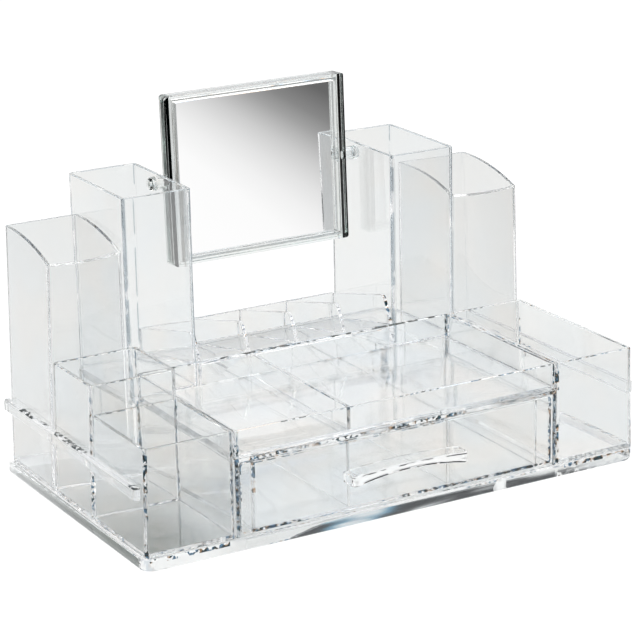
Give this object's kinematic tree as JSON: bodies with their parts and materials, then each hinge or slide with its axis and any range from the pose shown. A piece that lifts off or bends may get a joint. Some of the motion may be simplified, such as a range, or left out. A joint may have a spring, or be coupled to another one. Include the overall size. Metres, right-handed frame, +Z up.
{
  "type": "makeup organizer",
  "caption": "Clear makeup organizer with bins, brush cups, a divided tray, a compact rack, a pull-out drawer and a tilting mirror.",
  "frame": {"origin": "under the middle of the whole object, on the surface it stands on", "axes": "+X to the right seen from the drawer's side, +Y to the back, +Z up"},
  "size_m": [0.3268, 0.2026, 0.2174],
  "materials": {
    "clear_body": "clear polished polystyrene",
    "clear_drawer": "clear polished polystyrene",
    "clear_mirror_frame": "clear polished acrylic",
    "mirror": "silvered glass"
  },
  "bodies": {
    "root": {"base_plate": "clear_body", "left_curved_cup": "clear_body", "right_curved_cup": "clear_body", "left_tall_cup": "clear_body", "right_tall_cup": "clear_body", "left_rear_bin": "clear_body", "left_front_bin": "clear_body", "right_bin": "clear_body", "drawer_housing": "clear_body", "centre_tray": "clear_body", "tray_partition": "clear_body", "compact_rack": "clear_body", "left_side_rail": "clear_body", "right_side_rail": "clear_body"},
    "drawer": {"drawer_box": "clear_drawer", "drawer_front": "clear_drawer", "drawer_handle": "clear_drawer", "drawer_divider_left": "clear_drawer", "drawer_divider_right": "clear_drawer"},
    "mirror": {"mirror_frame": "clear_mirror_frame", "mirror_glass": "mirror", "mirror_back": "clear_mirror_frame", "left_pivot_pin": "clear_mirror_frame", "right_pivot_pin": "clear_mirror_frame"}
  },
  "joints": [
    {"name": "drawer_slide", "type": "slide", "parent": "root", "child": "drawer", "axis": [0, -1, 0], "range_m": [0, 0.15]},
    {"name": "mirror_tilt", "type": "hinge", "parent": "root", "child": "mirror", "pos_m": [0, 0.07275, 0.1665], "axis": [1, 0, 0], "continuous": true}
  ]
}
